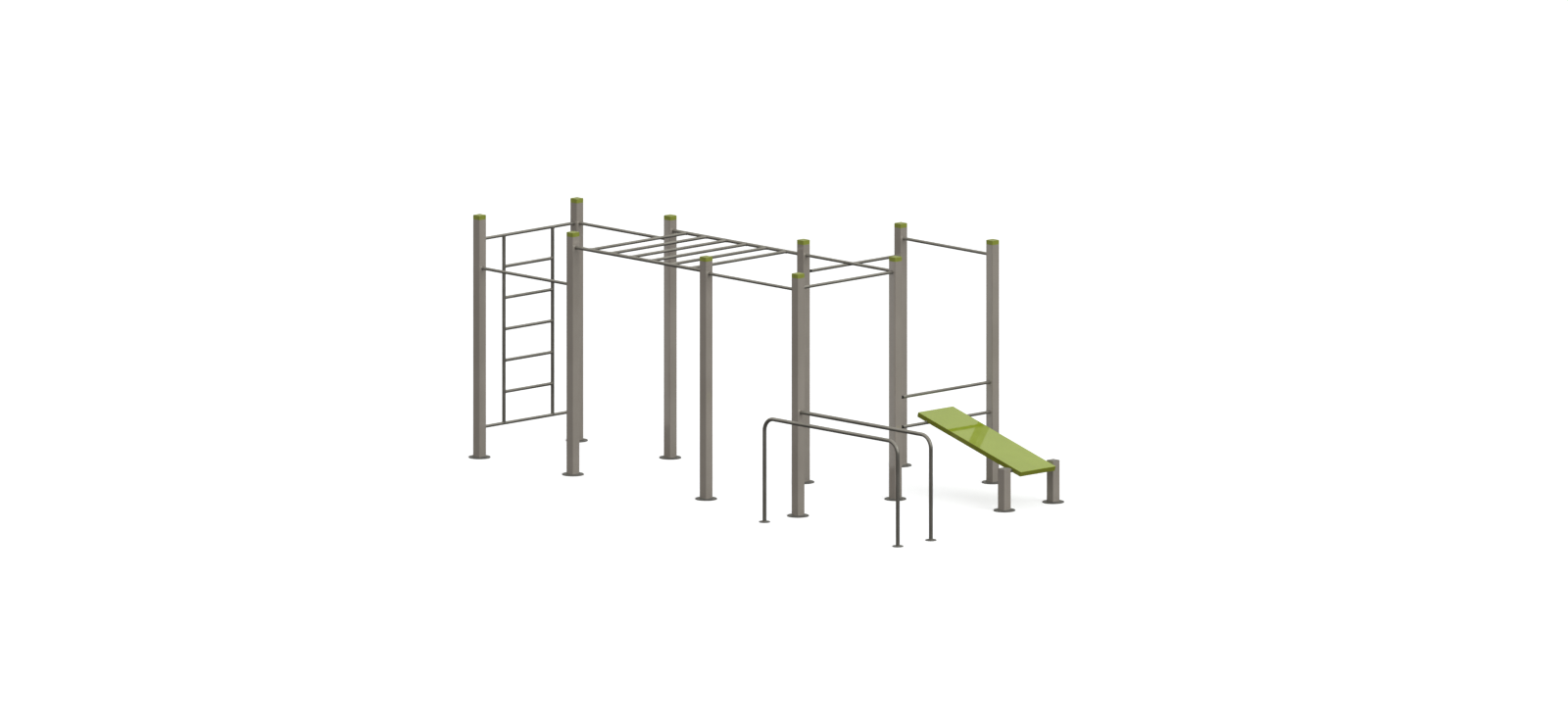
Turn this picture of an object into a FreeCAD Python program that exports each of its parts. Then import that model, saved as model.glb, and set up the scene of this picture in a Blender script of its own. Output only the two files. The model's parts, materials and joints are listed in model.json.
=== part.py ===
import FreeCAD, Part
import math
import os

from FreeCAD import Vector

# Outdoor gym frame: ten square posts in three rows, joined by round bars, with a wall ladder,
# an overhead monkey-bar ladder, a pair of dip bars and a sloping sit-up bench.
# Millimetres, +Z up. X runs along the rows of posts, Y from the front row to the back row.
# The layout is set out from the axis of the first post, and every file is written with its
# origin at the ground, under the middle of the object's box.

# ---------------------------------------------------------------- driving dimensions

# Post grid, centre to centre
LADDER_BAY = 1438.0
MONKEY_BAY = 2050.0
TOWER_BAY = 1415.0
ROW_SPACING = 1450.0

# Tall post: square hollow section
POST_SIZE = 100.0
POST_WALL = 3.0
POST_CORNER_R = 4.5
POST_LENGTH = 2584.0

# Short bench post, the same section
SHORT_POST_LENGTH = 444.0
SHORT_POST_REACH = 1305.0
SHORT_POST_SPACING = 728.0
LID_THICKNESS = 6.0
LID_EDGE_CHAMFER = 1.5

# Round base plate and its anchor holes
PLATE_DIAMETER = 235.0
PLATE_THICKNESS = 10.0
PLATE_EDGE_CHAMFER = 1.5
ANCHOR_PCD = 185.0
ANCHOR_HOLE = 14.0
ANCHOR_COUNT = 4

# Post cap: a hollow head that sits on the rim, and a plug inside the tube
CAP_HEIGHT = 46.0
CAP_TOP_THICKNESS = 4.0
CAP_EDGE_R = 2.0
CAP_PLUG_DEPTH = 30.0
CAP_PLUG_WALL = 3.0
CAP_PLUG_CLEARANCE = 0.25

# Round tubes
GRIP_DIAMETER = 33.7
FRAME_DIAMETER = 38.0
DIP_DIAMETER = 42.4
TUBE_WALL = 3.2

# Bar heights above the ground, to the tube's axis
LADDER_BOTTOM_HEIGHT = 328.0
LADDER_TOP_HEIGHT = 2374.0
MONKEY_HEIGHT = 2478.0
FRONT_LOW_HEIGHT = 2065.0
LADDER_LINK_HEIGHT = 2374.0
TOWER_FRONT_HEIGHT = 2459.0
TOWER_SIDE_HEIGHT = 2477.0
TOWER_MIDDLE_HEIGHT = 2478.0
BACK_LOW_HEIGHT = 2287.0
BACK_HIGH_HEIGHT = 2478.0
FOOT_HOOK_HEIGHT = 1098.0
BENCH_REST_HEIGHT = 773.0

# Wall ladder
LADDER_RUNGS = 5
LADDER_STILE_SPACING = 725.0

# Overhead ladder
MONKEY_RUNGS = 6
MONKEY_RUNG_PITCH = 307.5

# Spigot that a bar slides over where its tube stops short of the post
SPIGOT_REACH = 63.0
SPIGOT_SHOULDER = 12.0
SPIGOT_INSERTION = 50.0
SPIGOT_CLEARANCE = 0.15

# Dip bars
DIP_HEIGHT = 1135.0
DIP_LENGTH = 2045.0
DIP_BEND_R = 140.0
DIP_BAR_GAP = 514.0
DIP_FREE_OFFSET = 15.0
DIP_FREE_LENGTH = 2051.0
DIP_PLATE_DIAMETER = 120.0
DIP_PLATE_THICKNESS = 8.0
DIP_PLATE_CHAMFER = 1.0
DIP_ANCHOR_PCD = 90.0
DIP_ANCHOR_HOLE = 11.0
DIP_ANCHOR_COUNT = 4

# Sit-up bench: a folded sheet tray, clamped on the rest bar and on the cross tube
CROSS_TUBE_HEIGHT = 420.0
DECK_WIDTH = 520.0
DECK_DEPTH = 52.0
DECK_SHEET = 3.0
DECK_EDGE_R = 3.0
DECK_UPPER_OVERHANG = 152.0
DECK_LOWER_OVERHANG = 141.0
UPPER_STANDOFF = 39.4
LOWER_STANDOFF = 23.6
NOTCH_CLEARANCE = 2.0
SADDLE_SPACING = 300.0
SADDLE_WIDTH = 50.0
CLAMP_GAP = 1.0
STRAP_THICKNESS = 4.0
STRAP_WIDTH = 40.0
SCREW_TO_HOOP = 12.0
SCREW_TO_EAR_END = 12.0
SCREW_DIAMETER = 8.0
SCREW_CLEARANCE = 0.5
SCREW_DEPTH = 22.0
SCREW_HEAD_ACROSS_FLATS = 13.0
SCREW_HEAD_HEIGHT = 5.3

# ---------------------------------------------------------------- layout

POST_FACE = POST_SIZE / 2
STATION_1 = 0.0
STATION_2 = STATION_1 + LADDER_BAY
STATION_3 = STATION_2 + MONKEY_BAY
STATION_4 = STATION_3 + TOWER_BAY
FRONT_ROW = 0.0
MIDDLE_ROW = FRONT_ROW + ROW_SPACING
BACK_ROW = MIDDLE_ROW + ROW_SPACING

POSTS = {
    1: Vector(STATION_1, FRONT_ROW, 0),
    2: Vector(STATION_1, MIDDLE_ROW, 0),
    3: Vector(STATION_2, FRONT_ROW, 0),
    4: Vector(STATION_2, MIDDLE_ROW, 0),
    5: Vector(STATION_3, FRONT_ROW, 0),
    6: Vector(STATION_4, FRONT_ROW, 0),
    7: Vector(STATION_3, MIDDLE_ROW, 0),
    8: Vector(STATION_4, MIDDLE_ROW, 0),
    9: Vector(STATION_3, BACK_ROW, 0),
    10: Vector(STATION_4, BACK_ROW, 0),
}

BENCH_Y = (MIDDLE_ROW + BACK_ROW) / 2
SHORT_POST_X = STATION_4 + SHORT_POST_REACH
SHORT_POSTS = [
    Vector(SHORT_POST_X, BENCH_Y - SHORT_POST_SPACING / 2, 0),
    Vector(SHORT_POST_X, BENCH_Y + SHORT_POST_SPACING / 2, 0),
]

DIP_POST_FOOT = Vector(STATION_4 + DIP_LENGTH, FRONT_ROW, 0)
DIP_FREE_Y = FRONT_ROW - DIP_BAR_GAP
DIP_FREE_FEET = [
    Vector(STATION_4 + DIP_FREE_OFFSET, DIP_FREE_Y, 0),
    Vector(STATION_4 + DIP_FREE_OFFSET + DIP_FREE_LENGTH, DIP_FREE_Y, 0),
]
DIP_FEET = [DIP_POST_FOOT] + DIP_FREE_FEET


def middle_of_footprint():
    """Centre of the box round every plate on the ground, which is the widest part of the object."""
    discs = [(centre, PLATE_DIAMETER / 2) for centre in list(POSTS.values()) + SHORT_POSTS]
    discs += [(centre, DIP_PLATE_DIAMETER / 2) for centre in DIP_FEET]
    x_low = min(centre.x - radius for centre, radius in discs)
    x_high = max(centre.x + radius for centre, radius in discs)
    y_low = min(centre.y - radius for centre, radius in discs)
    y_high = max(centre.y + radius for centre, radius in discs)
    return Vector((x_low + x_high) / 2, (y_low + y_high) / 2, 0)


ORIGIN = middle_of_footprint()

# ---------------------------------------------------------------- shared shapes

UP = Vector(0, 0, 1)
ALONG_X = Vector(1, 0, 0)
ALONG_Y = Vector(0, 1, 0)


def write(name, solids):
    """Move the solids from the layout into the object's own frame and write one file."""
    shape = Part.makeCompound(solids) if len(solids) > 1 else solids[0]
    placed = shape.copy()
    placed.translate(-ORIGIN)
    placed.exportStep("parts/" + name + ".step")


def cylinder(start, direction, length, diameter):
    return Part.makeCylinder(diameter / 2, length, start, direction)


def tube(start, end, diameter):
    """Round tube with square ends, from one point on its axis to another."""
    run = end - start
    outside = cylinder(start, run, run.Length, diameter)
    inside = cylinder(start, run, run.Length, diameter - 2 * TUBE_WALL)
    return outside.cut(inside)


def rounded_square(size, corner_r, z):
    """Closed wire of a square with round corners, centred on the Z axis at height z."""
    half = size / 2
    flat = half - corner_r
    bow = flat + corner_r * math.sqrt(0.5)
    edges = []
    for quarter in range(4):
        turn = FreeCAD.Rotation(UP, 90 * quarter)
        side_start = turn.multVec(Vector(half, -flat, z))
        side_end = turn.multVec(Vector(half, flat, z))
        corner_middle = turn.multVec(Vector(bow, bow, z))
        corner_end = turn.multVec(Vector(flat, half, z))
        edges.append(Part.LineSegment(side_start, side_end).toShape())
        edges.append(Part.Arc(side_end, corner_middle, corner_end).toShape())
    return Part.Wire(edges)


def square_prism(size, corner_r, z, height):
    return Part.Face(rounded_square(size, corner_r, z)).extrude(Vector(0, 0, height))


def edges_at_height(shape, z):
    """Edges that lie flat at one height."""
    low_enough = [edge for edge in shape.Edges if abs(edge.BoundBox.ZMax - z) < 1e-6]
    return [edge for edge in low_enough if abs(edge.BoundBox.ZMin - z) < 1e-6]


def moved(shape, place):
    copy = shape.copy()
    copy.translate(place)
    return copy


# ---------------------------------------------------------------- posts, plates and caps


def square_post(length):
    """Hollow square post that stands on its base plate."""
    outside = square_prism(POST_SIZE, POST_CORNER_R, PLATE_THICKNESS, length)
    bore_r = POST_CORNER_R - POST_WALL
    inside = square_prism(POST_SIZE - 2 * POST_WALL, bore_r, PLATE_THICKNESS, length)
    return outside.cut(inside)


def foot_plate(diameter, thickness, chamfer, pcd, hole, count):
    """Round plate with a broken top edge and anchor holes on a circle."""
    disc = cylinder(Vector(0, 0, 0), UP, thickness, diameter)
    disc = disc.makeChamfer(chamfer, edges_at_height(disc, thickness))
    for index in range(count):
        angle = 2 * math.pi * index / count
        centre = Vector(pcd / 2 * math.cos(angle), pcd / 2 * math.sin(angle), 0)
        disc = disc.cut(cylinder(centre, UP, thickness, hole))
    return disc


def post_cap():
    """Moulded cap: the head sits on the tube's rim, and the plug fills the bore below it."""
    rim = PLATE_THICKNESS + POST_LENGTH
    top = rim + CAP_HEIGHT
    head = square_prism(POST_SIZE, POST_CORNER_R, rim, CAP_HEIGHT)
    head = head.makeFillet(CAP_EDGE_R, edges_at_height(head, top))
    plug_size = POST_SIZE - 2 * POST_WALL - 2 * CAP_PLUG_CLEARANCE
    plug_r = POST_CORNER_R - POST_WALL - CAP_PLUG_CLEARANCE
    plug = square_prism(plug_size, plug_r, rim - CAP_PLUG_DEPTH, CAP_PLUG_DEPTH + CAP_HEIGHT / 2)
    hollow_size = plug_size - 2 * CAP_PLUG_WALL
    hollow_height = CAP_PLUG_DEPTH + CAP_HEIGHT - CAP_TOP_THICKNESS
    hollow = square_prism(hollow_size, plug_r / 2, rim - CAP_PLUG_DEPTH, hollow_height)
    return head.fuse(plug).cut(hollow).removeSplitter()


def short_post_lid():
    """Flat lid welded on a short post."""
    rim = PLATE_THICKNESS + SHORT_POST_LENGTH
    lid = square_prism(POST_SIZE, POST_CORNER_R, rim, LID_THICKNESS)
    return lid.makeChamfer(LID_EDGE_CHAMFER, edges_at_height(lid, rim + LID_THICKNESS))


def base_plate():
    return foot_plate(
        PLATE_DIAMETER, PLATE_THICKNESS, PLATE_EDGE_CHAMFER, ANCHOR_PCD, ANCHOR_HOLE, ANCHOR_COUNT
    )


def write_posts():
    post = square_post(POST_LENGTH)
    plate = base_plate()
    cap = post_cap()
    for number, place in POSTS.items():
        write("post_%02d" % number, [moved(post, place)])
        write("base_plate_%02d" % number, [moved(plate, place)])
    write("post_caps", [moved(cap, place) for place in POSTS.values()])


def write_short_posts():
    post = square_post(SHORT_POST_LENGTH)
    plate = base_plate()
    lid = short_post_lid()
    for index, place in enumerate(SHORT_POSTS):
        write("short_post_%d" % (index + 1), [moved(post, place)])
    write("short_base_plates", [moved(plate, place) for place in SHORT_POSTS])
    write("short_post_lids", [moved(lid, place) for place in SHORT_POSTS])


# ---------------------------------------------------------------- bars between posts


def face_to_face(first, second, height):
    """The two points where a bar meets the facing sides of two posts."""
    run = second - first
    step = Vector(run).normalize() * POST_FACE
    lift = Vector(0, 0, height)
    return first + step + lift, second - step + lift


def butt_bar(first, second, height, diameter):
    """Bar welded square on to the facing sides of two posts."""
    start, end = face_to_face(POSTS[first], POSTS[second], height)
    return tube(start, end, diameter)


def spigot_bar(first, second, height):
    """Bar that slides over a spigot at its first post and is welded to its second."""
    start, end = face_to_face(POSTS[first], POSTS[second], height)
    return tube(start + ALONG_Y * SPIGOT_REACH, end, GRIP_DIAMETER)


def spigot(first, second, height):
    """Solid turned pin, welded to the first post, whose shoulder the bar's end stops against."""
    start = face_to_face(POSTS[first], POSTS[second], height)[0]
    diameter = GRIP_DIAMETER - 2 * TUBE_WALL - 2 * SPIGOT_CLEARANCE
    pin = cylinder(start, ALONG_Y, SPIGOT_REACH + SPIGOT_INSERTION, diameter)
    shoulder_start = start + ALONG_Y * (SPIGOT_REACH - SPIGOT_SHOULDER)
    shoulder = cylinder(shoulder_start, ALONG_Y, SPIGOT_SHOULDER, GRIP_DIAMETER)
    return pin.fuse(shoulder).removeSplitter()


BUTT_BARS = {
    "ladder_bottom_bar": (1, 2, LADDER_BOTTOM_HEIGHT),
    "ladder_top_bar": (1, 2, LADDER_TOP_HEIGHT),
    "front_low_bar": (1, 3, FRONT_LOW_HEIGHT),
    "ladder_link_bar": (2, 4, LADDER_LINK_HEIGHT),
    "tower_front_bar": (5, 6, TOWER_FRONT_HEIGHT),
    "tower_side_bar": (6, 8, TOWER_SIDE_HEIGHT),
    "tower_middle_bar": (7, 8, TOWER_MIDDLE_HEIGHT),
    "back_high_bar": (9, 10, BACK_HIGH_HEIGHT),
}

SPIGOT_BARS = {
    "back_low_bar": (7, 9, BACK_LOW_HEIGHT),
    "foot_hook_bar": (8, 10, FOOT_HOOK_HEIGHT),
    "bench_rest_bar": (8, 10, BENCH_REST_HEIGHT),
}


def write_bars():
    for name, (first, second, height) in BUTT_BARS.items():
        write(name, [butt_bar(first, second, height, GRIP_DIAMETER)])
    for name, (first, second, height) in SPIGOT_BARS.items():
        write(name, [spigot_bar(first, second, height)])
    write("bar_spigots", [spigot(*ends) for ends in SPIGOT_BARS.values()])


# ---------------------------------------------------------------- ladders


def coped_tube(start, end, diameter, start_bar, end_bar):
    """Tube between the axes of two round members, with each end shaped to the member it meets."""
    return tube(start, end, diameter).cut(start_bar).cut(end_bar)


def write_wall_ladder():
    """Two stiles between the bottom and top bars, and rungs at equal steps between the stiles."""
    middle = (POSTS[1] + POSTS[2]) * 0.5
    half = LADDER_STILE_SPACING / 2
    rise = LADDER_TOP_HEIGHT - LADDER_BOTTOM_HEIGHT
    low = [middle + ALONG_Y * side + UP * LADDER_BOTTOM_HEIGHT for side in (-half, half)]
    bars = []
    for height in (LADDER_BOTTOM_HEIGHT, LADDER_TOP_HEIGHT):
        start, end = face_to_face(POSTS[1], POSTS[2], height)
        bars.append(cylinder(start, ALONG_Y, (end - start).Length, GRIP_DIAMETER))
    stiles = [cylinder(foot, UP, rise, FRAME_DIAMETER) for foot in low]
    for index, foot in enumerate(low):
        stile = coped_tube(foot, foot + UP * rise, FRAME_DIAMETER, bars[0], bars[1])
        write("ladder_stile_%d" % (index + 1), [stile])
    pitch = rise / (LADDER_RUNGS + 1)
    for index in range(LADDER_RUNGS):
        lift = UP * (pitch * (index + 1))
        rung = coped_tube(low[0] + lift, low[1] + lift, GRIP_DIAMETER, stiles[0], stiles[1])
        write("ladder_rung_%d" % (index + 1), [rung])


def write_overhead_ladder():
    """Two rails from post to post, and rungs spread evenly about the middle of the bay."""
    rails = []
    for index, (first, second) in enumerate([(3, 5), (4, 7)]):
        start, end = face_to_face(POSTS[first], POSTS[second], MONKEY_HEIGHT)
        rails.append(cylinder(start, ALONG_X, (end - start).Length, FRAME_DIAMETER))
        write("monkey_rail_%d" % (index + 1), [tube(start, end, FRAME_DIAMETER)])
    first_x = (STATION_2 + STATION_3 - (MONKEY_RUNGS - 1) * MONKEY_RUNG_PITCH) / 2
    for index in range(MONKEY_RUNGS):
        x = first_x + index * MONKEY_RUNG_PITCH
        start = Vector(x, FRONT_ROW, MONKEY_HEIGHT)
        end = Vector(x, MIDDLE_ROW, MONKEY_HEIGHT)
        rung = coped_tube(start, end, GRIP_DIAMETER, rails[0], rails[1])
        write("monkey_rung_%d" % (index + 1), [rung])


# ---------------------------------------------------------------- dip bars


def bend(corner, turn_centre, axis, angle):
    """Quarter bend of dip tube that starts with its section at corner, square to the run."""
    section_normal = axis.cross(corner - turn_centre)
    rings = []
    for diameter in (DIP_DIAMETER, DIP_DIAMETER - 2 * TUBE_WALL):
        circle = Part.Circle(corner, section_normal, diameter / 2).toShape()
        rings.append(Part.Face(Part.Wire([circle])).revolve(turn_centre, axis, angle))
    return rings[0].cut(rings[1])


def bend_to_leg(foot, side):
    """Bend and upright leg at one end of a dip bar: side is +1 at the far end, -1 at the near end."""
    centre = Vector(foot.x - side * DIP_BEND_R, foot.y, DIP_HEIGHT - DIP_BEND_R)
    crown = centre + UP * DIP_BEND_R
    quarter = bend(crown, centre, ALONG_Y, 90 * side)
    leg = tube(foot + UP * DIP_PLATE_THICKNESS, Vector(foot.x, foot.y, centre.z), DIP_DIAMETER)
    return [quarter, leg]


def one_piece(runs):
    return runs[0].multiFuse(runs[1:]).removeSplitter()


def write_dip_bars():
    """One bar runs from a post to a foot, the other stands beside it on two feet."""
    lift = UP * DIP_HEIGHT
    start = POSTS[6] + ALONG_X * POST_FACE + lift
    end = DIP_POST_FOOT - ALONG_X * DIP_BEND_R + lift
    write("dip_bar_post", [one_piece([tube(start, end, DIP_DIAMETER)] + bend_to_leg(DIP_POST_FOOT, 1))])
    near, far = DIP_FREE_FEET
    top = tube(near + ALONG_X * DIP_BEND_R + lift, far - ALONG_X * DIP_BEND_R + lift, DIP_DIAMETER)
    write("dip_bar_free", [one_piece([top] + bend_to_leg(near, -1) + bend_to_leg(far, 1))])
    plate = foot_plate(
        DIP_PLATE_DIAMETER, DIP_PLATE_THICKNESS, DIP_PLATE_CHAMFER,
        DIP_ANCHOR_PCD, DIP_ANCHOR_HOLE, DIP_ANCHOR_COUNT
    )
    write("dip_foot_plates", [moved(plate, place) for place in DIP_FEET])


# ---------------------------------------------------------------- sit-up bench

# The bench is drawn flat, with X down the slope from the rest bar, Z square to the deck and
# Z = 0 on the underside of the deck's sheet, then laid on its two supports.
REST_AXIS = Vector(STATION_4, BENCH_Y, BENCH_REST_HEIGHT)
CROSS_AXIS = Vector(SHORT_POST_X, BENCH_Y, CROSS_TUBE_HEIGHT)
SUPPORT_RUN = CROSS_AXIS - REST_AXIS
UPPER_SEAT = GRIP_DIAMETER / 2 + UPPER_STANDOFF
LOWER_SEAT = GRIP_DIAMETER / 2 + LOWER_STANDOFF
SEAT_STEP = UPPER_SEAT - LOWER_SEAT
SEAT_RUN = math.sqrt(SUPPORT_RUN.Length ** 2 - SEAT_STEP ** 2)
SLOPE = math.atan2(-SUPPORT_RUN.z, SUPPORT_RUN.x) + math.asin(SEAT_STEP / SUPPORT_RUN.Length)
# Each support in the flat drawing: distance down the slope, and depth of its axis
SUPPORTS = [(0.0, UPPER_SEAT), (SEAT_RUN, LOWER_SEAT)]
SCREW_PITCH = GRIP_DIAMETER + 2 * (STRAP_THICKNESS + SCREW_TO_HOOP)
SADDLE_LENGTH = SCREW_PITCH + 2 * SCREW_TO_EAR_END


def laid_on_supports(shape):
    """Turn a flat-drawn bench piece to the slope and set it over the rest bar."""
    placed = shape.copy()
    placed.translate(Vector(0, 0, UPPER_SEAT))
    placed.rotate(Vector(0, 0, 0), ALONG_Y, math.degrees(SLOPE))
    placed.translate(REST_AXIS)
    return placed


def across(x, z, diameter, width):
    """Cylinder across the bench, centred on its width."""
    return cylinder(Vector(x, -width / 2, z), ALONG_Y, width, diameter)


def block(x, y, z_low, length, width, height):
    """Box centred on x and y."""
    return Part.makeBox(length, width, height, Vector(x - length / 2, y - width / 2, z_low))


def bench_deck():
    """Folded tray: a flat sheet with a skirt all round, notched where the two supports cross it."""
    length = DECK_UPPER_OVERHANG + SEAT_RUN + DECK_LOWER_OVERHANG
    middle = length / 2 - DECK_UPPER_OVERHANG
    bottom = DECK_SHEET - DECK_DEPTH
    tray = block(middle, 0, bottom, length, DECK_WIDTH, DECK_DEPTH)
    upper_edges = [edge for edge in tray.Edges if edge.BoundBox.ZMax > DECK_SHEET - 1e-6]
    tray = tray.makeFillet(DECK_EDGE_R, upper_edges)
    inner_length = length - 2 * DECK_SHEET
    inner_width = DECK_WIDTH - 2 * DECK_SHEET
    tray = tray.cut(block(middle, 0, bottom, inner_length, inner_width, -bottom))
    notch = GRIP_DIAMETER + 2 * NOTCH_CLEARANCE
    for x, depth in SUPPORTS:
        tray = tray.cut(across(x, -depth, notch, DECK_WIDTH))
        tray = tray.cut(block(x, 0, -depth - DECK_DEPTH, notch, DECK_WIDTH, DECK_DEPTH))
    return tray


def screw_places(x):
    return [x - SCREW_PITCH / 2, x + SCREW_PITCH / 2]


def saddle(x, y, depth):
    """Block welded under the deck, with a half-round seat and two tapped holes beside it."""
    body = block(x, y, CLAMP_GAP / 2 - depth, SADDLE_LENGTH, SADDLE_WIDTH, depth - CLAMP_GAP / 2)
    body = body.cut(across(x, -depth, GRIP_DIAMETER, DECK_WIDTH))
    for place in screw_places(x):
        hole = cylinder(Vector(place, y, -depth), UP, SCREW_DEPTH, SCREW_DIAMETER)
        body = body.cut(hole)
    return body


def strap(x, y, depth):
    """Half-round strap under the tube, with a flat ear on each side for its screw."""
    top = -depth - CLAMP_GAP / 2
    around = GRIP_DIAMETER + 2 * STRAP_THICKNESS
    hoop = across(x, -depth, around, STRAP_WIDTH)
    hoop.translate(Vector(0, y, 0))
    ears = block(x, y, top - STRAP_THICKNESS, SADDLE_LENGTH, STRAP_WIDTH, STRAP_THICKNESS)
    above = block(x, y, top, SADDLE_LENGTH, STRAP_WIDTH, around)
    body = hoop.fuse(ears).cut(above).cut(across(x, -depth, GRIP_DIAMETER, DECK_WIDTH))
    for place in screw_places(x):
        clear = SCREW_DIAMETER + 2 * SCREW_CLEARANCE
        hole = cylinder(Vector(place, y, top - STRAP_THICKNESS), UP, STRAP_THICKNESS, clear)
        body = body.cut(hole)
    return body.removeSplitter()


def hexagon_prism(centre, across_flats, height):
    """Six-sided prism that hangs below a point."""
    corner = across_flats / math.sqrt(3)
    points = []
    for index in range(7):
        angle = math.radians(60 * index)
        points.append(centre + Vector(corner * math.cos(angle), corner * math.sin(angle), 0))
    return Part.Face(Part.makePolygon(points)).extrude(Vector(0, 0, -height))


def screw(x, y, depth):
    """Hexagon-head screw: up through the strap's ear and into the saddle."""
    seat = Vector(x, y, -depth - CLAMP_GAP / 2 - STRAP_THICKNESS)
    shank = cylinder(seat, UP, -depth + SCREW_DEPTH - seat.z, SCREW_DIAMETER)
    return shank.fuse(hexagon_prism(seat, SCREW_HEAD_ACROSS_FLATS, SCREW_HEAD_HEIGHT)).removeSplitter()


def write_bench():
    write("bench_deck", [laid_on_supports(bench_deck())])
    saddles = []
    straps = []
    screws = []
    for x, depth in SUPPORTS:
        for y in (-SADDLE_SPACING / 2, SADDLE_SPACING / 2):
            saddles.append(laid_on_supports(saddle(x, y, depth)))
            straps.append(laid_on_supports(strap(x, y, depth)))
            screws += [laid_on_supports(screw(place, y, depth)) for place in screw_places(x)]
    write("bench_saddles", saddles)
    write("bench_straps", straps)
    write("bench_screws", screws)
    start, end = face_to_face(SHORT_POSTS[0], SHORT_POSTS[1], CROSS_TUBE_HEIGHT)
    write("bench_cross_tube", [tube(start, end, GRIP_DIAMETER)])


os.makedirs("parts", exist_ok=True)
write_posts()
write_short_posts()
write_bars()
write_wall_ladder()
write_overhead_ladder()
write_dip_bars()
write_bench()
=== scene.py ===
import json
import math

import bpy
import numpy as np
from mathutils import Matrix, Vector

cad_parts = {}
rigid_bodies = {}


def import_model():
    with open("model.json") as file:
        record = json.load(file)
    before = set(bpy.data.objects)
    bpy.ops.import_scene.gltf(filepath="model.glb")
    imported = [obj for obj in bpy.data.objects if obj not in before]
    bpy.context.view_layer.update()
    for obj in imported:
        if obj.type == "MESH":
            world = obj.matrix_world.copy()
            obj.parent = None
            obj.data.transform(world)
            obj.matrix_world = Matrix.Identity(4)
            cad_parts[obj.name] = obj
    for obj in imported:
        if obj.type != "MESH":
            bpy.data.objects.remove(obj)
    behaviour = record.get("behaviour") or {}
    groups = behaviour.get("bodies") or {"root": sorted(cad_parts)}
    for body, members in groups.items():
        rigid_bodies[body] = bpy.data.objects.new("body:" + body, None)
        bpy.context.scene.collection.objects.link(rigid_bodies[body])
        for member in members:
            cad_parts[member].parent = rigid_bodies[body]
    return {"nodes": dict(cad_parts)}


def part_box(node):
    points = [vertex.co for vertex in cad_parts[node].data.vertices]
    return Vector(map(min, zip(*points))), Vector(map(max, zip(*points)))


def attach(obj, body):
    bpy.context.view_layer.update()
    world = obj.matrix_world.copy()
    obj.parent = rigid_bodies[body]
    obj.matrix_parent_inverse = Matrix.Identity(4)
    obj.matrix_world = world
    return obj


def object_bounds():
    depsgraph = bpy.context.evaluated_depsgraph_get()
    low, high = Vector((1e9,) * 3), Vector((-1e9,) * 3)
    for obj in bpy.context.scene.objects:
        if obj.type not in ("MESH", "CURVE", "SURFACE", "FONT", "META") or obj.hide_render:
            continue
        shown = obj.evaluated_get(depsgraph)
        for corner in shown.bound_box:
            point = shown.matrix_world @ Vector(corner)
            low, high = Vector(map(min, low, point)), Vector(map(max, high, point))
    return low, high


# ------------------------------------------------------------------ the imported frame
# Posts, bars, plates, caps and bench come in as they were packed. What follows gives each of them
# its finish, adds the weld beads that join them, and sets them in a plain studio.

for leftover in list(bpy.data.objects):
    bpy.data.objects.remove(leftover)
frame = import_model()
nodes = frame["nodes"]
cad_low, cad_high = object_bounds()

# ------------------------------------------------------------------ tall and short posts
# Square hollow steel sections, 100 mm across, powder coated a warm grey. The coat is smooth and
# glossy enough to mirror the next post faintly, with a fine orange peel and a little dust low down.


class Signal:
    """One output in a finish. Arithmetic on it adds Math nodes, so a pattern reads as a formula."""

    def __init__(self, finish, socket):
        self.finish = finish
        self.socket = socket

    def math(self, operation, first, second):
        return self.finish.node("ShaderNodeMath", {"operation": operation}, {0: first, 1: second})

    def __add__(self, other):
        return self.math("ADD", self, other)

    def __radd__(self, other):
        return self.math("ADD", other, self)

    def __sub__(self, other):
        return self.math("SUBTRACT", self, other)

    def __rsub__(self, other):
        return self.math("SUBTRACT", other, self)

    def __mul__(self, other):
        return self.math("MULTIPLY", self, other)

    def __rmul__(self, other):
        return self.math("MULTIPLY", other, self)


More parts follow.
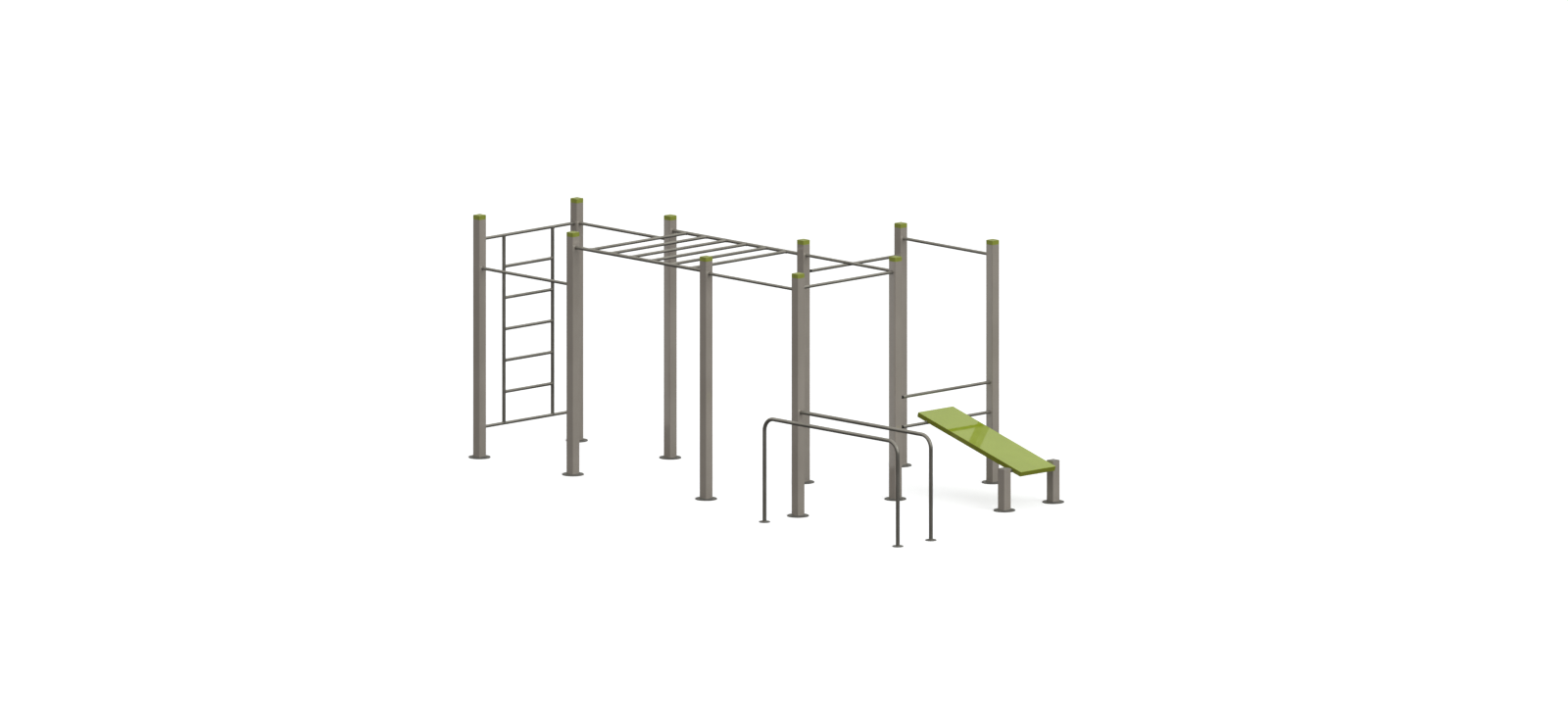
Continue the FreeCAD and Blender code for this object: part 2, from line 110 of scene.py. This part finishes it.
class Finish:
    """A material under construction. node() adds any node: its settings first, then its sockets."""

    def __init__(self, owner):
        self.owner = owner
        owner.use_nodes = True
        self.tree = owner.node_tree
        self.tree.nodes.clear()
        self.place = self.node("ShaderNodeTexCoord", output="Object")

    def node(self, kind, settings=None, sockets=None, output=0):
        made = self.tree.nodes.new(kind)
        for name, value in (settings or {}).items():
            setattr(made, name, value)
        for name, value in (sockets or {}).items():
            if isinstance(value, Signal):
                self.tree.links.new(value.socket, made.inputs[name])
            else:
                made.inputs[name].default_value = value
        return Signal(self, made.outputs[output]) if made.outputs else None

    def noise(self, size, detail=3.0, stretch=(1, 1, 1), roughness=0.5):
        """Noise from 0 to 1 in patches about size metres across, drawn out where stretch is small."""
        place = self.node("ShaderNodeMapping", {}, {"Vector": self.place, "Scale": stretch})
        sockets = {"Vector": place, "Scale": 1 / size, "Detail": detail, "Roughness": roughness}
        return self.node("ShaderNodeTexNoise", {}, sockets)

    def contrast(self, value, low, high, bottom=0.0, top=1.0):
        """Spreads the part of a signal from low to high over bottom to top, with soft ends."""
        spread = {"Value": value, "From Min": low, "From Max": high, "To Min": bottom, "To Max": top}
        return self.node("ShaderNodeMapRange", {"interpolation_type": "SMOOTHSTEP"}, spread)

    def blend(self, share, first, second):
        """Colour that goes from the first to the second as share goes from 0 to 1. A Mix node's own
        colours are its sockets 6 and 7, and its blended colour comes out of 2."""
        sockets = {0: share, 6: first, 7: second}
        return self.node("ShaderNodeMix", {"data_type": "RGBA"}, sockets, output=2)

    def height(self):
        """Height above the ground in metres."""
        return self.node("ShaderNodeSeparateXYZ", {}, {0: self.place}, output="Z")

    def along(self, direction):
        """Distance from the origin in metres, measured along a direction."""
        sockets = {0: self.place, 1: direction}
        return self.node("ShaderNodeVectorMath", {"operation": "DOT_PRODUCT"}, sockets, output="Value")

    def bump(self, height, depth):
        """Raises the surface by a height signal, depth metres from bottom to top."""
        return self.node("ShaderNodeBump", {}, {"Height": height, "Distance": depth})

    def surface(self, sockets):
        """Ends the finish with one Principled shader and returns the material."""
        shader = self.node("ShaderNodeBsdfPrincipled", {}, sockets)
        self.node("ShaderNodeOutputMaterial", {}, {"Surface": shader})
        return self.owner


def finish_named(name):
    return Finish(bpy.data.materials.new(name))


def coat(names, material):
    """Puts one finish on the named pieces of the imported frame."""
    for name in names:
        for place in nodes[name].material_slots:
            place.material = material


def display_colour(red, green, blue):
    """Linear colour of an 8-bit display colour."""
    shares = [value / 255 for value in (red, green, blue)]
    linear = [v / 12.92 if v <= 0.04045 else ((v + 0.055) / 1.055) ** 2.4 for v in shares]
    return (*linear, 1.0)


def powder_coat(name, light, dark, gloss, index):
    """Powder coat on steel: a slow drift of tone, orange peel, and dust splashed up near the ground."""
    finish = finish_named(name)
    drift = finish.contrast(finish.noise(0.5, detail=4), 0.3, 0.7)
    peel = finish.noise(0.004, detail=2)
    fleck = finish.contrast(finish.noise(0.0011, detail=1), 0.66, 0.8)
    splash = finish.noise(0.05, detail=6, roughness=0.65)
    low_down = 1 - finish.contrast(finish.height() + splash * 0.14, 0.06, 0.32)
    dust = low_down * finish.contrast(splash, 0.4, 0.8)
    paint = finish.blend(drift, dark, light)
    flecked = finish.blend(fleck * 0.1, paint, display_colour(215, 208, 198))
    dusty = finish.blend(dust * 0.3, flecked, display_colour(176, 164, 144))
    colour_sockets = {"Base Color": dusty, "Roughness": drift * 0.05 + dust * 0.35 + gloss}
    return finish.surface({**colour_sockets, "Normal": finish.bump(peel, 0.000006), "IOR": index})


TALL_POSTS = ["post_%02d" % number for number in range(1, 11)]
SHORT_POSTS = ["short_post_1", "short_post_2"]
post_paint = powder_coat(
    "post_powder_coat", display_colour(180, 171, 161), display_colour(173, 164, 154), 0.04, 2.6
)
coat(TALL_POSTS + SHORT_POSTS, post_paint)

# ------------------------------------------------------------------ base plates and foot welds
# Laser-cut round plates, 10 mm thick, with drilled anchor holes. Each is welded all round the foot
# of its post, and plate and weld get a plain matt grey coat.

BASE_PLATES = ["base_plate_%02d" % number for number in range(1, 11)]
plate_paint = powder_coat(
    "plate_powder_coat", display_colour(110, 108, 104), display_colour(97, 96, 93), 0.5, 1.4
)
coat(BASE_PLATES + ["short_base_plates", "dip_foot_plates"], plate_paint)

POST_CORNER_R = 0.0045
CORNER_POINTS = 8
FOOT_BEAD_RADIUS = 0.0045
BEAD_SIDES = 10
BEAD_LIFT = 0.3
RIPPLE_PITCH = 0.0035
RIPPLE_SHARE = 0.09
POINT_STEP = RIPPLE_PITCH / 4


def resampled(corners, step):
    """Points about step metres apart along the closed line through the corners."""
    loop = np.vstack([corners, corners[:1]])
    travelled = np.concatenate([[0], np.cumsum(np.linalg.norm(np.diff(loop, axis=0), axis=1))])
    count = int(travelled[-1] / step)
    wanted = np.arange(count) / count * travelled[-1]
    return np.stack([np.interp(wanted, travelled, loop[:, axis]) for axis in range(3)], axis=1)


def unit(vectors):
    return vectors / np.linalg.norm(vectors, axis=1)[:, None]


def bead_surface(line, outward, radius):
    """Weld bead on a closed line, as points and faces.

    Point (i, t) is line(i) + outward(i) BEAD_LIFT radius + r (outward(i) cos t + side(i) sin t),
    where side is ahead x outward, and r is the radius times a triangle wave, one ripple to each
    pitch."""
    count = len(line)
    ahead = unit(np.roll(line, -1, axis=0) - np.roll(line, 1, axis=0))
    outward = unit(outward - (outward * ahead).sum(1)[:, None] * ahead)
    side = np.cross(ahead, outward)
    travelled = np.linalg.norm(np.roll(line, -1, axis=0) - line, axis=1).sum()
    ripples = round(travelled / RIPPLE_PITCH)
    phase = np.arange(count) / count * ripples
    swell = 1 + RIPPLE_SHARE * (2 * np.abs(phase % 1 - 0.5) - 0.5)
    turn = np.arange(BEAD_SIDES) / BEAD_SIDES * 2 * math.pi
    ring = np.cos(turn)[None, :, None] * outward[:, None] + np.sin(turn)[None, :, None] * side[:, None]
    points = (line + outward * radius * BEAD_LIFT)[:, None] + ring * (radius * swell)[:, None, None]
    here = np.arange(count * BEAD_SIDES).reshape(count, BEAD_SIDES)
    after = np.roll(here, -1, axis=0)
    faces = np.stack([here, np.roll(here, -1, axis=1), np.roll(after, -1, axis=1), after], axis=2)
    return points.reshape(-1, 3), faces.reshape(-1, 4)


def weld_piece(name, beads, material):
    """Joins bead surfaces into one smooth piece that rides on the frame."""
    points = np.concatenate([bead[0] for bead in beads])
    starts = np.cumsum([0] + [len(bead[0]) for bead in beads[:-1]])
    faces = np.concatenate([bead[1] + start for bead, start in zip(beads, starts)])
    mesh = bpy.data.meshes.new(name)
    mesh.from_pydata(points.tolist(), [], faces.tolist())
    mesh.shade_smooth()
    mesh.materials.append(material)
    piece = bpy.data.objects.new(name, mesh)
    bpy.context.scene.collection.objects.link(piece)
    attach(piece, "root")


def square_bead(post, height, radius):
    """Bead round a square post at a height: four quarter circles joined by straight sides."""
    low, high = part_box(post)
    middle = (low + high) / 2
    flat = (high.x - low.x) / 2 - POST_CORNER_R
    quarter = np.arange(4)[:, None]
    turn = (np.linspace(0, 1, CORNER_POINTS)[None, :] + quarter) * math.pi / 2
    corner = (quarter + 0.5) * math.pi / 2 + turn * 0
    x = middle.x + flat * math.sqrt(2) * np.cos(corner) + POST_CORNER_R * np.cos(turn)
    y = middle.y + flat * math.sqrt(2) * np.sin(corner) + POST_CORNER_R * np.sin(turn)
    corners = np.stack([x.ravel(), y.ravel(), np.full(x.size, height)], axis=1)
    line = resampled(corners, POINT_STEP)
    outward = unit(line - np.array([middle.x, middle.y, height]))
    outward[:, 2] = 1.0
    return bead_surface(line, outward, radius)


foot_beads = [
    square_bead(post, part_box(post)[0].z, FOOT_BEAD_RADIUS) for post in TALL_POSTS + SHORT_POSTS
]
weld_piece("post_foot_welds", foot_beads, plate_paint)

# ------------------------------------------------------------------ post caps
# Moulded plastic caps, coloured right through in a yellow green, pushed into the top of each post.
# The mould leaves a fine even grain, and the sun has dulled their tops.


def moulded_green():
    finish = finish_named("cap_moulded_green")
    grain = finish.noise(0.0012, detail=2)
    fade = finish.contrast(finish.noise(0.05, detail=4), 0.3, 0.7)
    top = finish.contrast(finish.height(), cad_high.z - 0.0015, cad_high.z - 0.0003)
    plastic = finish.blend(fade, display_colour(146, 155, 61), display_colour(156, 165, 69))
    faded = finish.blend(top * 0.3, plastic, display_colour(160, 168, 88))
    rough = fade * 0.08 + top * 0.12 + 0.32
    relief = finish.bump(grain, 0.00004)
    return finish.surface({"Base Color": faded, "Roughness": rough, "Normal": relief, "IOR": 1.5})


coat(["post_caps"], moulded_green())

# ------------------------------------------------------------------ round bars, ladders and rungs
# Drawn steel tube, 33.7 and 38 mm, left bare and brushed along its length to a satin grey. Ends are
# welded to a post, or fish-mouthed on to another tube, and hands have polished the middle of rungs.

BARS_ALONG_X = [
    "front_low_bar", "ladder_link_bar", "tower_front_bar", "tower_middle_bar", "back_high_bar",
    "monkey_rail_1", "monkey_rail_2",
]
BARS_ALONG_Y = ["ladder_bottom_bar", "ladder_top_bar", "tower_side_bar", "bench_cross_tube"]
SPIGOT_BARS = ["back_low_bar", "foot_hook_bar", "bench_rest_bar"]
LADDER_RUNGS = ["ladder_rung_%d" % number for number in range(1, 6)]
MONKEY_RUNGS = ["monkey_rung_%d" % number for number in range(1, 7)]
STILES = ["ladder_stile_1", "ladder_stile_2"]
STEEL_LIGHT = display_colour(159, 155, 148)
STEEL_DARK = display_colour(135, 131, 124)


def brushed_steel(name, stretch):
    """Bare steel: scratches drawn out along the tube, a slow drift of tone, and handled patches."""
    finish = finish_named(name)
    scratch = finish.noise(0.0011, detail=4, stretch=stretch)
    drift = finish.contrast(finish.noise(0.21, detail=3), 0.3, 0.7)
    handled = finish.contrast(finish.noise(0.09, detail=4), 0.45, 0.7)
    metal = finish.blend(drift * 0.6 + scratch * 0.4, STEEL_DARK, STEEL_LIGHT)
    rough = 0.36 - handled * 0.08 + finish.contrast(scratch, 0.3, 0.7) * 0.08
    relief = finish.bump(scratch, 0.00003)
    return finish.surface({"Base Color": metal, "Roughness": rough, "Normal": relief, "Metallic": 0.7})


coat(BARS_ALONG_X, brushed_steel("steel_brushed_along_x", (0.02, 1, 1)))
steel_along_y = brushed_steel("steel_brushed_along_y", (1, 0.02, 1))
coat(BARS_ALONG_Y + SPIGOT_BARS + LADDER_RUNGS + MONKEY_RUNGS, steel_along_y)
coat(STILES, brushed_steel("steel_brushed_upright", (1, 1, 0.02)))


def weld_metal():
    """Bare weld bead: bright crests with straw-coloured heat marks in patches."""
    finish = finish_named("weld_metal")
    fine = finish.noise(0.0015, detail=3)
    heat = finish.contrast(finish.noise(0.011, detail=2), 0.42, 0.68)
    metal = finish.blend(fine, display_colour(118, 115, 110), display_colour(166, 163, 157))
    tinted = finish.blend(heat * 0.35, metal, display_colour(124, 102, 74))
    relief = finish.bump(fine, 0.00008)
    sockets = {"Base Color": tinted, "Roughness": fine * 0.2 + 0.32, "Normal": relief}
    return finish.surface({**sockets, "Metallic": 0.75})


bare_weld = weld_metal()
BAR_BEAD_RADIUS = 0.0034
AXES = np.eye(3)


def tube_line(node):
    """Axis number, middle and radius of a straight round tube, from its box."""
    low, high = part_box(node)
    size = np.array(high - low)
    return int(size.argmax()), np.array(low + high) / 2, size.min() / 2


def round_bead(centre, axis, sign, radius, seat_radius=None, seat_axis=None):
    """Bead where a tube ends on a flat face, or on the side of a seat tube.

    Point t is centre + radius (cos t, sin t) across the axis. On a seat tube it lies back from the
    seat's own axis by the root of seat_radius squared less the offset across the seat squared."""
    across = [AXES[index] for index in range(3) if index != axis]
    count = int(2 * math.pi * radius / POINT_STEP)
    turn = np.arange(count) / count * 2 * math.pi
    radial = np.cos(turn)[:, None] * across[0] + np.sin(turn)[:, None] * across[1]
    line = centre + radius * radial
    toward = AXES[axis] * sign
    if seat_radius is None:
        return bead_surface(line, radial - toward, BAR_BEAD_RADIUS)
    over = 3 - axis - seat_axis
    offset = radius * radial[:, over]
    back = np.sqrt(np.maximum(seat_radius ** 2 - offset ** 2, 0))
    seat_normal = (AXES[over] * offset[:, None] - toward * back[:, None]) / seat_radius
    return bead_surface(line - toward * back[:, None], radial + seat_normal, BAR_BEAD_RADIUS)


def end_beads(node, signs):
    """Beads at the square ends of a bar, at its low end for -1 and its high end for +1."""
    axis, middle, radius = tube_line(node)
    low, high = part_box(node)
    beads = []
    for sign in signs:
        centre = middle.copy()
        centre[axis] = high[axis] if sign > 0 else low[axis]
        beads.append(round_bead(centre, axis, sign, radius))
    return beads


def cope_beads(node, low_seat, high_seat):
    """Beads at the shaped ends of a rung or stile, round the two tubes that it sits on."""
    axis, middle, radius = tube_line(node)
    beads = []
    for sign, seat in ((-1, low_seat), (1, high_seat)):
        seat_axis, seat_middle, seat_radius = tube_line(seat)
        centre = middle.copy()
        centre[axis] = seat_middle[axis]
        beads.append(round_bead(centre, axis, sign, radius, seat_radius, seat_axis))
    return beads


bar_beads = [bead for bar in BARS_ALONG_X + BARS_ALONG_Y for bead in end_beads(bar, (-1, 1))]
bar_beads += [bead for bar in SPIGOT_BARS for bead in end_beads(bar, (1,))]
weld_piece("bar_end_welds", bar_beads, bare_weld)

ladder_seats = {stile: ("ladder_bottom_bar", "ladder_top_bar") for stile in STILES}
ladder_seats |= {rung: tuple(STILES) for rung in LADDER_RUNGS}
ladder_beads = [bead for tube, seats in ladder_seats.items() for bead in cope_beads(tube, *seats)]
weld_piece("wall_ladder_welds", ladder_beads, bare_weld)

rung_beads = [bead for rung in MONKEY_RUNGS for bead in cope_beads(rung, "monkey_rail_1", "monkey_rail_2")]
weld_piece("monkey_rung_welds", rung_beads, bare_weld)

# ------------------------------------------------------------------ bar spigots
# Turned steel pins, 27 mm, welded to a post and brush painted black, weld and all. Three of the
# bars slide over them and stop against a shoulder, so black pin shows between post and tube.


def black_paint():
    finish = finish_named("spigot_black_paint")
    brush = finish.noise(0.004, detail=4)
    paint = finish.blend(brush, display_colour(10, 10, 10), display_colour(24, 24, 23))
    return finish.surface({"Base Color": paint, "Roughness": brush * 0.15 + 0.5, "IOR": 1.4})


spigot_paint = black_paint()
coat(["bar_spigots"], spigot_paint)

SPIGOT_POSTS = {"back_low_bar": "post_07", "foot_hook_bar": "post_08", "bench_rest_bar": "post_08"}
SPIGOT_RADIUS = 0.0135
spigot_beads = []
for bar, post in SPIGOT_POSTS.items():
    root = tube_line(bar)[1]
    root[1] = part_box(post)[1].y
    spigot_beads.append(round_bead(root, 1, -1, SPIGOT_RADIUS))
weld_piece("spigot_welds", spigot_beads, spigot_paint)

# ------------------------------------------------------------------ dip bars
# Two long handrails of 42.4 mm tube, bent cold to a quarter circle at each leg. One starts from a
# post, the other stands on two feet, and each leg is welded to a small round plate.


def bent_steel():
    """The same bare steel with an even satin mottle, because a bent tube is brushed all round."""
    finish = finish_named("steel_bent_tube")
    mottle = finish.noise(0.0016, detail=4)
    drift = finish.contrast(finish.noise(0.24, detail=3), 0.3, 0.7)
    metal = finish.blend(drift * 0.6 + mottle * 0.4, STEEL_DARK, STEEL_LIGHT)
    rough = finish.contrast(mottle, 0.3, 0.7) * 0.07 + 0.34
    relief = finish.bump(mottle, 0.00003)
    return finish.surface({"Base Color": metal, "Roughness": rough, "Normal": relief, "Metallic": 0.7})


coat(["dip_bar_post", "dip_bar_free"], bent_steel())
free_low, free_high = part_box("dip_bar_free")
post_low, post_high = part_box("dip_bar_post")
dip_radius = (free_high.y - free_low.y) / 2
free_y = (free_low.y + free_high.y) / 2
post_y = (post_low.y + post_high.y) / 2
legs = [
    (free_low.x + dip_radius, free_y), (free_high.x - dip_radius, free_y),
    (post_high.x - dip_radius, post_y),
]
dip_beads = [round_bead(np.array([x, y, free_low.z]), 2, -1, dip_radius) for x, y in legs]
post_end = np.array([post_low.x, post_y, post_high.z - dip_radius])
dip_beads.append(round_bead(post_end, 0, -1, dip_radius))
weld_piece("dip_bar_welds", dip_beads, bare_weld)

# ------------------------------------------------------------------ sit-up bench
# A tray folded from 3 mm sheet and coated a glossy yellow green, scuffed paler where the users
# have been. Its top is painted paler and its skirts deeper, as painted light and shade. Zinc-plated
# saddles, straps and hexagon screws clamp it to two tubes.


def deck_top():
    """Direction square to the tray's top and the top's distance along it, from its largest facets."""
    mesh = nodes["bench_deck"].data
    normals = np.empty(len(mesh.polygons) * 3)
    mesh.polygons.foreach_get("normal", normals)
    areas = np.empty(len(mesh.polygons))
    mesh.polygons.foreach_get("area", areas)
    centres = np.empty(len(mesh.polygons) * 3)
    mesh.polygons.foreach_get("center", centres)
    largest = np.where(normals.reshape(-1, 3)[:, 2] > 0, areas, 0).argmax()
    square = normals.reshape(-1, 3)[largest]
    return square, float((centres.reshape(-1, 3) @ square).max())


def glossy_green():
    finish = finish_named("deck_glossy_green")
    square, level = deck_top()
    top = finish.contrast(finish.along(tuple(square)), level - 0.003, level - 0.001)
    peel = finish.noise(0.004, detail=2)
    drift = finish.contrast(finish.noise(0.35, detail=3), 0.3, 0.7)
    rub = finish.noise(0.003, detail=4, stretch=(0.05, 1, 0.05))
    worn = finish.contrast(finish.noise(0.16, detail=4), 0.5, 0.72) * finish.contrast(rub, 0.58, 0.75)
    # Painted light and shade: the skirts get a deeper green and the top a paler one, lit and shaded copies
    # of the one paint, split by the top mask.
    painted_shaded_skirt_green = finish.blend(drift, display_colour(128, 134, 46), display_colour(136, 142, 54))
    painted_lit_top_green = finish.blend(drift, display_colour(156, 175, 40), display_colour(162, 181, 46))
    paint = finish.blend(top, painted_shaded_skirt_green, painted_lit_top_green)
    scuffed = finish.blend(worn * 0.25, paint, display_colour(186, 198, 120))
    rough = worn * 0.16 + drift * 0.02 + 0.04
    sockets = {"Base Color": scuffed, "Roughness": rough, "Normal": finish.bump(peel, 0.000004)}
    return finish.surface({**sockets, "IOR": 1.5, "Specular Tint": (1.0, 1.0, 0.6, 1.0)})


def zinc_plate():
    finish = finish_named("clamp_zinc_plate")
    spangle = finish.noise(0.006, detail=3)
    patches = finish.contrast(spangle, 0.35, 0.65)
    zinc = finish.blend(patches, display_colour(142, 144, 146), display_colour(176, 177, 176))
    relief = finish.bump(finish.noise(0.0012), 0.00002)
    sockets = {"Base Color": zinc, "Roughness": spangle * 0.15 + 0.34, "Normal": relief}
    return finish.surface({**sockets, "Metallic": 0.9})


coat(["bench_deck"], glossy_green())
coat(["bench_saddles", "bench_straps", "bench_screws"], zinc_plate())

# ------------------------------------------------------------------ lids of the short posts
# Flat steel lids, 6 mm thick, seal-welded on top of the two short posts and coated with them. Their
# coat is a darker copy of the posts' grey, as painted shade on the flat tops, and more matt than the
# sides.

# Painted shade: the lids take a darker copy of the post coat, for the shade on their flat tops.
lid_painted_shade_coat = powder_coat(
    "lid_coat_painted_shade", display_colour(138, 134, 124), display_colour(128, 125, 116), 0.35, 1.5
)
coat(["short_post_lids"], lid_painted_shade_coat)
LID_BEAD_RADIUS = 0.0015
lid_beads = [square_bead(post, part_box(post)[1].z, LID_BEAD_RADIUS) for post in SHORT_POSTS]
weld_piece("lid_welds", lid_beads, post_paint)

# ------------------------------------------------------------------ floor, light and camera
# A plain white studio: a matt floor, an even sky, one soft light from the right, and a parallel
# camera a little above the ground, turned 46 degrees round from the front of the row.

FLOOR_HALF = 60.0
FLOOR_GLOW = 0.48
floor_mesh = bpy.data.meshes.new("studio_floor")
floor_corners = [(x * FLOOR_HALF, y * FLOOR_HALF, 0.0) for x, y in ((-1, -1), (1, -1), (1, 1), (-1, 1))]
floor_mesh.from_pydata(floor_corners, [], [(0, 1, 2, 3)])
floor_paint = finish_named("studio_floor").surface({
    "Base Color": (0.88, 0.88, 0.88, 1), "Roughness": 0.9, "Specular IOR Level": 0.0,
    "Emission Color": (1, 1, 1, 1), "Emission Strength": FLOOR_GLOW,
})
floor_mesh.materials.append(floor_paint)
floor = bpy.data.objects.new("studio_floor", floor_mesh)
bpy.context.scene.collection.objects.link(floor)
floor.visible_diffuse = False
floor.visible_glossy = False


def studio_sky():
    """White where it is seen itself; a soft dome on matt surfaces, brighter above than below; and
    in reflections bright overhead and dark at the horizon and under it."""
    world = bpy.data.worlds.new("studio_sky")
    sky = Finish(world)
    rise = sky.node("ShaderNodeSeparateXYZ", {}, {0: sky.node("ShaderNodeTexCoord")}, output="Z")
    dome = sky.contrast(rise, -0.3, 0.3, 0.25, 0.6)
    mirrored = sky.contrast(rise, -0.1, 0.5, 0.05, 1.0)
    in_mirror = sky.node("ShaderNodeLightPath", output="Is Glossy Ray")
    in_view = sky.node("ShaderNodeLightPath", output="Is Camera Ray")
    lit = dome + in_mirror * (mirrored - dome)
    strength = lit + in_view * (1 - lit)
    tint = sky.blend(in_mirror, (1, 1, 1, 1), (1.0, 1.0, 0.93, 1))
    background = sky.node("ShaderNodeBackground", {}, {"Color": tint, "Strength": strength})
    sky.node("ShaderNodeOutputWorld", {}, {"Surface": background})
    return world


bpy.context.scene.world = studio_sky()
bpy.context.scene.view_settings.view_transform = "Standard"


def toward(azimuth, elevation):
    """Unit vector from the object to a place at an azimuth from the front and an elevation."""
    turn, rise = math.radians(azimuth), math.radians(elevation)
    flat = math.cos(rise)
    return type(cad_low)((math.sin(turn) * flat, -math.cos(turn) * flat, math.sin(rise)))


def placed(name, data, location, facing):
    """Adds a light or camera whose own Z axis points the way given."""
    thing = bpy.data.objects.new(name, data)
    thing.location = location
    thing.rotation_euler = facing.to_track_quat("Z", "Y").to_euler()
    bpy.context.scene.collection.objects.link(thing)
    return thing


KEY_AZIMUTH, KEY_ELEVATION = 97, 30
LIGHT_PLACE = (0, 0, 6)
key_light = bpy.data.lights.new("key_light", "SUN")
key_light.energy = 0.92
key_light.color = (0.99, 1.02, 0.98)
key_light.angle = math.radians(50)
placed("key_light", key_light, LIGHT_PLACE, toward(KEY_AZIMUTH, KEY_ELEVATION))

# A cooler light, level with the ground, on the back of the row: it shows from the front only where
# one glossy post mirrors the back of another.
BACK_AZIMUTH = 180
back_light = bpy.data.lights.new("back_light", "SUN")
back_light.energy = 2.4
back_light.color = (0.84, 1.0, 1.16)
back_light.angle = math.radians(20)
back_light.use_shadow = False
placed("back_light", back_light, LIGHT_PLACE, toward(BACK_AZIMUTH, 0)).visible_glossy = False

CAMERA_AZIMUTH, CAMERA_ELEVATION = 45.93, 10.25
FRAME_WIDTH = 16.79
SIDE_OFFSET, HEIGHT_OFFSET = -0.0217, -0.0025
CAMERA_DISTANCE = 30.0
CAMERA_REACH = 200.0
view_middle = (cad_low + cad_high) / 2 + toward(CAMERA_AZIMUTH + 90, 0) * SIDE_OFFSET
view_middle.z += HEIGHT_OFFSET
camera_data = bpy.data.cameras.new("camera")
camera_data.type = "ORTHO"
camera_data.ortho_scale = FRAME_WIDTH
camera_data.clip_end = CAMERA_REACH
facing = toward(CAMERA_AZIMUTH, CAMERA_ELEVATION)
camera = placed("camera", camera_data, view_middle + facing * CAMERA_DISTANCE, facing)
bpy.context.scene.camera = camera

bpy.context.view_layer.update()
